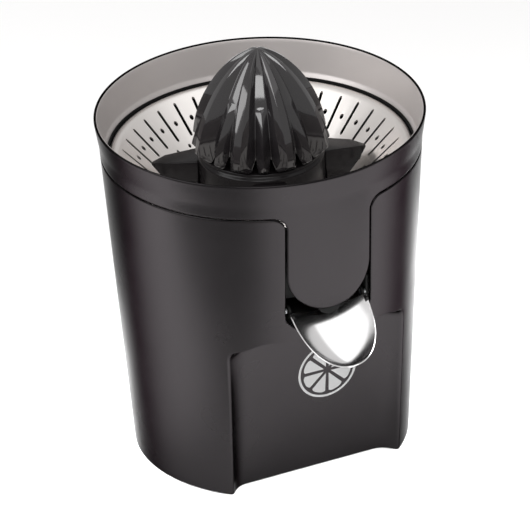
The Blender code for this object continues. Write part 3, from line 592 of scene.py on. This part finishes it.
def spout_normal(along, across):
    step = 0.004
    a = spout_point(min(along + step, 1), across) - spout_point(max(along - step, 0), across)
    b = spout_point(along, min(across + step, 1)) - spout_point(along, max(across - step, -1))
    normal = a.cross(b)
    return normal.normalized() if normal.length > 1e-9 else Vector((0, 0, -1))


def build_spout():
    """The polished scoop, and a black arm on each side that carries it on its pin."""
    rows, columns = 56, 56
    loops = []
    for row in range(rows + 1):
        along = 0.985 * row / rows
        inner, outer = [], []
        for column in range(columns + 1):
            across = 2 * column / columns - 1
            point = spout_point(along, across)
            inner.append(tuple(point))
            outer.append(tuple(point + spout_normal(along, across) * SPOUT_THICKNESS))
        loops.append(inner + outer[::-1])
    spout = loft("spout_scoop", loops, 40.0)
    paint(spout, "polished_steel")
    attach(spout, "pouring_spout")
    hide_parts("spout")
    for side in (-1, 1):
        near, far = sorted(side * x for x in ARM_SIDES)
        arm = bevelled(rod_x("spout_arm", ARM_RADIUS, near, far, SPOUT_PIVOT), 0.4)
        boolean(arm, bevelled(block("link", (near, -79.6, 111.2), (far, -72.6, 113.8)), 0.3), "UNION")
        boolean(arm, rod_x("pin_bore", ARM_BORE, -30, 30, SPOUT_PIVOT), "DIFFERENCE")
        paint(arm, "inner_black")
        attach(arm, "pouring_spout")
        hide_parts("spout")


# Reamer cone ------------------------------------------------------------------------------------------------
CONE_BASE = 172.6
CONE_HEIGHT = 57.0
CONE_RADIUS = 37.6
CONE_ROWS = 72
CONE_RIBS = 8
CONE_CURVE = (1.75, 0.655)
# places round a rib are shares of the way from one tall crest to the next
CREST_SHARE = 0.055
CREST_GROWTH = 1.2
GROOVE_SHARE = 0.31
GROOVE_FLAT = 0.018
VALLEY_SHARE = 0.79
VALLEY_LEAN = 0.05
# the short ribs: how high they stand at the foot, how they fade, and the height share where they end
SHORT_HEIGHT = 0.93
SHORT_FADE = 0.62
SHORT_TOP = 0.56
CHAMFER_HEIGHT = 3.9
CHAMFER_DEPTH = 4.6
CHAMFER_SHARES = (0, 0.017, 0.034, 0.051, 0.064, 0.0684, 0.0724, 0.09)
# how far each point of a rib's profile lies from the edge of its crest to the groove, and from there to the
# crest of the short rib
TALL_STEPS = (0.03, 0.25, 0.5, 0.75, 0.97)
SHORT_STEPS = (0.05, 0.3, 0.6, 0.85, 0.95, 1.0)


def half_crest_at(t):
    return CREST_SHARE * (1 + CREST_GROWTH * t)


def cone_places(t):
    """Where the points of half a rib lie, from its crest to the middle of the next short rib."""
    crest = half_crest_at(t)
    tall = [crest + (GROOVE_SHARE - crest) * k for k in TALL_STEPS]
    low = GROOVE_SHARE + GROOVE_FLAT
    short = [low + (0.5 - low) * k for k in SHORT_STEPS]
    return [0.0, crest * 0.6, crest * 0.97] + tall + [GROOVE_SHARE, low] + short


def cone_radius_at(t, place):
    """The cone's radius at a height share t; place is 0 on a tall rib's crest and 0.5 on a short one's."""
    crest = CONE_RADIUS * max(1 - t ** CONE_CURVE[0], 0) ** CONE_CURVE[1]
    valley = crest * (VALLEY_SHARE - VALLEY_LEAN * t)
    half_crest = half_crest_at(t)
    tall = 1 - min(max((place - half_crest) / (GROOVE_SHARE - half_crest), 0), 1)
    short_height = SHORT_HEIGHT * max(0.0, 1 - t / SHORT_TOP) ** SHORT_FADE
    low = GROOVE_SHARE + GROOVE_FLAT
    short = min(max((place - low) / (0.5 - low), 0), 1) * short_height
    radius = valley + (crest - valley) * max(tall, short)
    chamfer = min(max(1 - t * CONE_HEIGHT / CHAMFER_HEIGHT, 0), 1)
    return min(radius, crest - chamfer * CHAMFER_DEPTH)


def cone_loop(t):
    """The cone's outline at a height share t."""
    loop = []
    z = CONE_BASE + CONE_HEIGHT * t
    places = cone_places(t)
    for rib in range(CONE_RIBS):
        turns = [(p, p) for p in places] + [(1 - p, p) for p in reversed(places[1:-1])]
        for turn, place in turns:
            a = 2 * math.pi * (rib + turn) / CONE_RIBS
            r = cone_radius_at(t, place)
            loop.append((r * math.cos(a), r * math.sin(a), z))
    return loop


def octagon_bar(name, radius, low, high):
    return loft(name, [[(x, y, z) for x, y in arc((0, 0), (radius, radius), 0, 315, 7)] for z in (low, high)])


def build_cone():
    """The ribbed cone, hollow underneath, with an eight-sided socket for the drive hub."""
    start = CHAMFER_SHARES[-1]
    shares = list(CHAMFER_SHARES)
    shares += [start + (1 - start) * math.sin(i / CONE_ROWS * math.pi / 2) for i in range(1, CONE_ROWS)]
    shares.append(0.9996)
    cone = loft("reamer_cone_body", [cone_loop(t) for t in shares], 14.0)
    hollow = [(0.01, 160), (32.0, 160), (32.0, 172.7), (28.5, 180), (24.5, 192), (17, 206), (7, 217),
              (0.01, 218.5)]
    cut = turned("hollow", hollow, 64, closed=False)
    cap_ends(cut)
    socket = octagon_bar("socket", 12.0, CONE_BASE, 240)
    bore = octagon_bar("bore", 10.1, 150, 187.8)
    boolean(socket, bore, "DIFFERENCE")
    boolean(cut, socket, "DIFFERENCE")
    boolean(cone, cut, "DIFFERENCE")
    paint(cone, "gloss_black")
    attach(cone, "cone")
    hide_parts("reamer_cone")


def cap_ends(obj):
    """Closes the two small holes at the ends of a turned shape."""
    shape = bmesh.new()
    shape.from_mesh(obj.data)
    bmesh.ops.holes_fill(shape, edges=[e for e in shape.edges if e.is_boundary], sides=0)
    bmesh.ops.recalc_face_normals(shape, faces=shape.faces)
    shape.to_mesh(obj.data)
    shape.free()


# Sweeper ----------------------------------------------------------------------------------------------------
PADDLE_ANGLES = (-5.0, 148.0, 252.0)
# corners of one side of a paddle that points along +X
HALF_PADDLE = ((32.3, 12.0, 150.2), (45.5, 9.0, 150.2), (53.0, 6.5, 156.5), (32.3, 9.0, 166.5),
               (52.0, 5.0, 163.0), (59.0, 1.2, 160.5))


def build_sweeper():
    """The skirted ring under the cone, with its pulp paddles."""
    profile = [(33.5, 149.6), (33.5, 168.3), (31.8, 169.8), (31.6, 171.3), (14.0, 171.3), (14.0, 149.6),
               (15.6, 149.6), (15.6, 169.5), (30.2, 169.5), (31.9, 167.6), (31.9, 149.6)]
    sweeper = turned("pulp_sweeper_body", rounded(profile, 0.7), 160)
    for angle in PADDLE_ANGLES:
        turn = Matrix.Rotation(math.radians(angle), 3, "Z")
        points = [turn @ Vector((x, side * y, z)) for x, y, z in HALF_PADDLE for side in (-1, 1)]
        paddle = bevelled(hull("paddle", points), 0.9, 4)
        boolean(sweeper, paddle, "UNION")
    paint(sweeper, "sweeper_black")
    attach(sweeper, "pulp_sweeper")
    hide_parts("sweeper")


# Pictogram --------------------------------------------------------------------------------------------------
PRINT_X = 9.0
PRINT_HEIGHT = 61.0
PRINT_RADIUS = 17.0
PRINT_LINE = 1.3
PRINT_SLICES = 8
PRINT_LIFT = 0.04
WEDGE_GAP = 1.5
WEDGE_WIDTH = 0.80
WEDGE_ROUNDING = 0.9
WEDGE_POINT = 2.2
WEDGE_STEPS = 12


def print_spot(x, z):
    """A place on the recess floor, just clear of it; x is counted from the middle of the print."""
    return (x + PRINT_X, -(RECESS_FLOOR + RECESS_LEAN * z) - PRINT_LIFT, z)


def wedge(number):
    """The outline of one slice of the fruit: a blunt point near the middle and a rounded outer edge."""
    half = math.pi / PRINT_SLICES
    middle = half + 2 * half * number
    outline = []
    for i in range(WEDGE_STEPS + 1):
        share = 2 * i / WEDGE_STEPS - 1
        a = middle + half * WEDGE_WIDTH * share
        r = PRINT_RADIUS - PRINT_LINE - WEDGE_GAP - WEDGE_ROUNDING * abs(share) ** 4
        outline.append((r * math.cos(a), PRINT_HEIGHT + r * math.sin(a)))
    outline.append((WEDGE_POINT * math.cos(middle), PRINT_HEIGHT + WEDGE_POINT * math.sin(middle)))
    return outline


def flat_print(name, outlines):
    points, faces = [], []
    for outline in outlines:
        start = len(points)
        points += [print_spot(x, z) for x, z in outline]
        faces.append(tuple(range(start, start + len(outline))))
    return mesh_object(name, points, faces, outward=False)


def build_print():
    """A citrus slice printed on the recess floor: a ring and eight rounded wedges."""
    points, faces = [], []
    steps = 96
    for radius in (PRINT_RADIUS - PRINT_LINE, PRINT_RADIUS):
        for i in range(steps):
            a = 2 * math.pi * i / steps
            points.append(print_spot(radius * math.cos(a), PRINT_HEIGHT + radius * math.sin(a)))
    for i in range(steps):
        j = (i + 1) % steps
        faces.append((i, j, steps + j, steps + i))
    ring = mesh_object("print_ring", points, faces, outward=False)
    slices = flat_print("print_slices", [wedge(k) for k in range(PRINT_SLICES)])
    for obj in (ring, slices):
        paint(obj, "print_grey")
        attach(obj, "base")


# Small outside pieces ---------------------------------------------------------------------------------------
GLAND_HEIGHT = 15.0


def build_gland():
    """The grommet at the rear, turned upright and then laid back along +Y through the housing's wall."""
    wall_out = sheet_radius(GLAND_HEIGHT)
    wall_in = wall_out - HOUSING_WALL
    inside = [(3.4, wall_in - 3), (6.2, wall_in - 3), (6.2, wall_in - 0.9), (5.0, wall_in - 0.9)]
    outside = [(5.0, wall_out + 0.9), (7.4, wall_out + 0.9), (6.6, wall_out + 2.8), (4.6, wall_out + 4.5),
               (3.4, wall_out + 4.5)]
    gland = turned("cord_gland_ring", rounded(inside + outside, 0.5), 64)
    gland.data.transform(Matrix.Rotation(math.radians(-90), 4, "X"))
    gland.data.transform(Matrix.Translation((0, 0, GLAND_HEIGHT * MM)))
    paint(gland, "rubber")
    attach(gland, "base")
    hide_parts("cord_gland")


# Materials --------------------------------------------------------------------------------------------------
SHADERS = {
    # colour, metallic, roughness, colour spread, roughness spread, bump, noise scale (per metre), coat
    "anthracite": ((0.0150, 0.0138, 0.0144), 1.0, 0.25, 0.07, 0.03, 0.05, 1400, 0.0),
    "inner_wall": ((0.46, 0.43, 0.42), 0.35, 0.42, 0.05, 0.04, 0.03, 900, 0.0),
    "stainless": ((0.80, 0.77, 0.745), 1.0, 0.34, 0.04, 0.06, 0.04, 1500, 0.0),
    "polished_steel": ((0.90, 0.895, 0.90), 1.0, 0.17, 0.02, 0.02, 0.01, 300, 0.0),
    "gloss_black": ((0.012, 0.0105, 0.0115), 0.0, 0.10, 0.1, 0.02, 0.01, 120, 0.6),
    "sweeper_black": ((0.006, 0.005, 0.0055), 0.0, 0.22, 0.1, 0.03, 0.02, 200, 0.0),
    "black_plastic": ((0.02, 0.02, 0.02), 0.0, 0.5, 0.15, 0.08, 0.1, 2500, 0.0),
    # inner_black is black plastic made darker and duller than black_plastic: painted shade for the inside of
    # the bowl and its duct, and for the band in the gap under the wall
    "inner_black": ((0.008, 0.008, 0.008), 0.0, 0.6, 0.15, 0.08, 0.1, 2500, 0.0),
    "rubber": ((0.015, 0.015, 0.015), 0.0, 0.8, 0.2, 0.08, 0.2, 1800, 0.0),
    "lamination": ((0.22, 0.22, 0.24), 0.9, 0.5, 0.2, 0.1, 0.3, 700, 0.0),
    "copper": ((0.62, 0.27, 0.12), 0.9, 0.35, 0.15, 0.08, 0.3, 900, 0.2),
    "bronze": ((0.55, 0.4, 0.2), 0.9, 0.4, 0.12, 0.1, 0.1, 1500, 0.0),
    "nylon": ((0.82, 0.8, 0.72), 0.0, 0.45, 0.04, 0.06, 0.05, 900, 0.0),
    "zinc": ((0.62, 0.63, 0.65), 1.0, 0.35, 0.12, 0.1, 0.08, 600, 0.0),
    "print_grey": ((0.16, 0.16, 0.16), 0.0, 0.45, 0.05, 0.04, 0.03, 1200, 0.0),
}
# where a material differs from the usual: its grazing colour, its plain reflection, its grain's proportions
EDGE_TINT = {"anthracite": (0.42, 0.42, 0.42)}
SPECULAR = {"sweeper_black": 0.16, "inner_black": 0.1, "black_plastic": 0.3}
STRETCH = {"lamination": (0.15, 0.15, 6.0), "copper": (1.0, 1.0, 5.0), "inner_wall": (1.0, 1.0, 0.2)}
BROAD_RATIO = 40


def noise_node(tree, vector, scale, detail):
    noise = tree.nodes.new("ShaderNodeTexNoise")
    noise.inputs["Scale"].default_value = scale
    noise.inputs["Detail"].default_value = detail
    tree.links.new(vector, noise.inputs["Vector"])
    return noise.outputs["Fac"]


def shader_material(name):
    """The procedural material of that name, made once: broad noise varies its colour and roughness, and fine
    noise gives it its grain."""
    if "look_" + name in bpy.data.materials:
        return bpy.data.materials["look_" + name]
    colour, metallic, roughness, spread, rough_spread, bump, scale, coat = SHADERS[name]
    material = bpy.data.materials.new("look_" + name)
    material.use_nodes = True
    tree = material.node_tree
    shader = tree.nodes["Principled BSDF"]
    shader.inputs["Metallic"].default_value = metallic
    shader.inputs["Coat Weight"].default_value = coat
    shader.inputs["Coat Roughness"].default_value = 0.04
    shader.inputs["Specular IOR Level"].default_value = SPECULAR.get(name, 0.5)
    shader.inputs["Specular Tint"].default_value = (*EDGE_TINT.get(name, (1.0, 1.0, 1.0)), 1)
    place = tree.nodes.new("ShaderNodeTexCoord")
    mapping = tree.nodes.new("ShaderNodeMapping")
    mapping.inputs["Scale"].default_value = STRETCH.get(name, (1.0, 1.0, 1.0))
    tree.links.new(place.outputs["Object"], mapping.inputs["Vector"])
    fine = noise_node(tree, mapping.outputs["Vector"], scale, 3.0)
    broad = noise_node(tree, mapping.outputs["Vector"], scale / BROAD_RATIO, 2.0)
    ramp = tree.nodes.new("ShaderNodeMix")
    ramp.data_type = "RGBA"
    ramp.inputs[6].default_value = (*[c * (1 - spread) for c in colour], 1)
    ramp.inputs[7].default_value = (*[min(1.0, c * (1 + spread)) for c in colour], 1)
    tree.links.new(broad, ramp.inputs[0])
    tree.links.new(ramp.outputs[2], shader.inputs["Base Color"])
    rough = tree.nodes.new("ShaderNodeMapRange")
    rough.inputs["From Min"].default_value = 0.3
    rough.inputs["From Max"].default_value = 0.7
    rough.inputs["To Min"].default_value = roughness - rough_spread
    rough.inputs["To Max"].default_value = roughness + rough_spread
    tree.links.new(broad, rough.inputs["Value"])
    tree.links.new(rough.outputs["Result"], shader.inputs["Roughness"])
    relief = tree.nodes.new("ShaderNodeBump")
    relief.inputs["Strength"].default_value = bump
    relief.inputs["Distance"].default_value = 0.0002
    tree.links.new(fine, relief.inputs["Height"])
    tree.links.new(relief.outputs["Normal"], shader.inputs["Normal"])
    return material


def paint(obj, name):
    obj.data.materials.clear()
    obj.data.materials.append(shader_material(name))


def paint_carried_nodes():
    """Gives every piece that keeps its CAD shape the procedural material of its slot."""
    slots = {part["node"]: part["material_slot"] for part in frame["record"]["subparts"]}
    for name, node in frame["nodes"].items():
        paint(node, slots[name])
        node.data.shade_smooth()
        node.data.set_sharp_from_angle(angle=math.radians(35))


# Camera, light and floor ------------------------------------------------------------------------------------
def build_camera():
    """A long lens that looks down at the press from its front left, with a slight roll."""
    elevation = math.radians(CAMERA_ELEVATION)
    around = Matrix.Rotation(math.radians(CAMERA_AZIMUTH), 3, "Z")
    roll = math.radians(CAMERA_ROLL)
    ahead = Vector((0, math.cos(elevation), -math.sin(elevation)))
    right = Vector((1, 0, 0))
    up = right.cross(ahead)
    tilted_right = right * math.cos(roll) + up * math.sin(roll)
    tilted_up = up * math.cos(roll) - right * math.sin(roll)
    place = around @ (Vector((0, 0, CAMERA_TARGET)) - ahead * CAMERA_DISTANCE)
    axes = Matrix([around @ tilted_right, around @ tilted_up, around @ -ahead]).transposed()
    data = bpy.data.cameras.new("camera")
    data.lens = CAMERA_LENS
    data.sensor_width = 36.0
    data.shift_x = CAMERA_SHIFT
    data.clip_start = 0.1
    data.clip_end = 50.0
    camera = bpy.data.objects.new("camera", data)
    camera.matrix_world = Matrix.Translation(place * MM) @ axes.to_4x4()
    bpy.context.scene.collection.objects.link(camera)
    bpy.context.scene.camera = camera


def softbox(name, azimuth, elevation, distance, size, power, aim=(0, 0, 0.1)):
    """A rectangular area light, in metres and watts. Azimuth 0 is in front of the object, 90 to its right."""
    a, e = math.radians(azimuth), math.radians(elevation)
    data = bpy.data.lights.new(name, "AREA")
    data.shape = "RECTANGLE"
    data.size, data.size_y = size
    data.energy = power
    light = bpy.data.objects.new(name, data)
    outward = Vector((math.sin(a) * math.cos(e), -math.cos(a) * math.cos(e), math.sin(e)))
    spot = Vector(aim) + distance * outward
    light.location = spot
    light.rotation_euler = (Vector(aim) - spot).to_track_quat("-Z", "Y").to_euler()
    bpy.context.scene.collection.objects.link(light)


def floor_wash(name, across, along, size, radiance, height=0.05):
    """A downward light just above the floor, which brightens the floor that one side of the body mirrors.

    Its centre is measured across the direction of view and along it, away from the camera.
    """
    turn = math.radians(CAMERA_AZIMUTH)
    right = Vector((math.cos(turn), math.sin(turn), 0))
    away = Vector((-math.sin(turn), math.cos(turn), 0))
    softbox(name, 0, 0, 0, size, radiance * math.pi * size[0] * size[1])
    light = bpy.data.objects[name]
    light.location = across * right + along * away + Vector((0, 0, height))
    light.rotation_euler = (0, 0, turn)


def build_floor():
    """A large plain pale floor."""
    reach = 6000
    points = [(-reach, -reach, 0), (reach, -reach, 0), (reach, reach, 0), (-reach, reach, 0)]
    floor = mesh_object("floor", points, [(0, 1, 2, 3)], outward=False)
    material = bpy.data.materials.new("pale_floor")
    material.use_nodes = True
    shader = material.node_tree.nodes["Principled BSDF"]
    shader.inputs["Base Color"].default_value = (0.93, 0.93, 0.93, 1)
    shader.inputs["Roughness"].default_value = 0.9
    floor.data.materials.append(material)


def build_studio():
    """Even surrounding light, three softboxes, and washes on the floor that the body mirrors."""
    bpy.context.scene.view_settings.view_transform = "Standard"
    world = bpy.data.worlds.new("studio")
    bpy.context.scene.world = world
    world.use_nodes = True
    background = world.node_tree.nodes["Background"]
    background.inputs["Color"].default_value = (1.0, 0.99, 0.985, 1)
    background.inputs["Strength"].default_value = 0.66
    softbox("top", 40, 74, 1.5, (1.6, 1.6), 5)
    softbox("left_high", -88, 36, 1.2, (0.9, 0.7), 8.5)
    softbox("front_high", -24, 40, 1.2, (0.6, 0.4), 4.5, (0, 0, 0.19))
    floor_wash("left_wash", -0.320, -0.035, (0.44, 0.26), 7.2)
    floor_wash("left_near_wash", -0.130, -0.045, (0.08, 0.13), 8.0)
    floor_wash("left_far_wash", -0.49, -0.04, (0.22, 0.27), 15.0)
    floor_wash("front_wash", 0.180, -0.280, (0.37, 0.41), 5.0)
    floor_wash("front_near_wash", 0.06, -0.135, (0.20, 0.09), 3.5)
    floor_wash("right_wash", 0.34, 0.05, (0.42, 0.32), 9.0)
    build_floor()


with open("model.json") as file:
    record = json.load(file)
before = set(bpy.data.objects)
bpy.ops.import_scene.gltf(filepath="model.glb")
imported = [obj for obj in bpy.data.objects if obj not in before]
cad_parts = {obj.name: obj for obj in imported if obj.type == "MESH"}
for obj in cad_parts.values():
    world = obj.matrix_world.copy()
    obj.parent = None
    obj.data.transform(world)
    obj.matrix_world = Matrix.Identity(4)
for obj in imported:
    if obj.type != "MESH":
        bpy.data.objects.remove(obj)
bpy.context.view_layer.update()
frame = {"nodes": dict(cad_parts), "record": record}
paint_carried_nodes()
build_housing()
build_shell()
build_liner()
build_bowl()
build_strainer()
build_spout()
build_cone()
build_sweeper()
build_print()
build_gland()
build_camera()
build_studio()
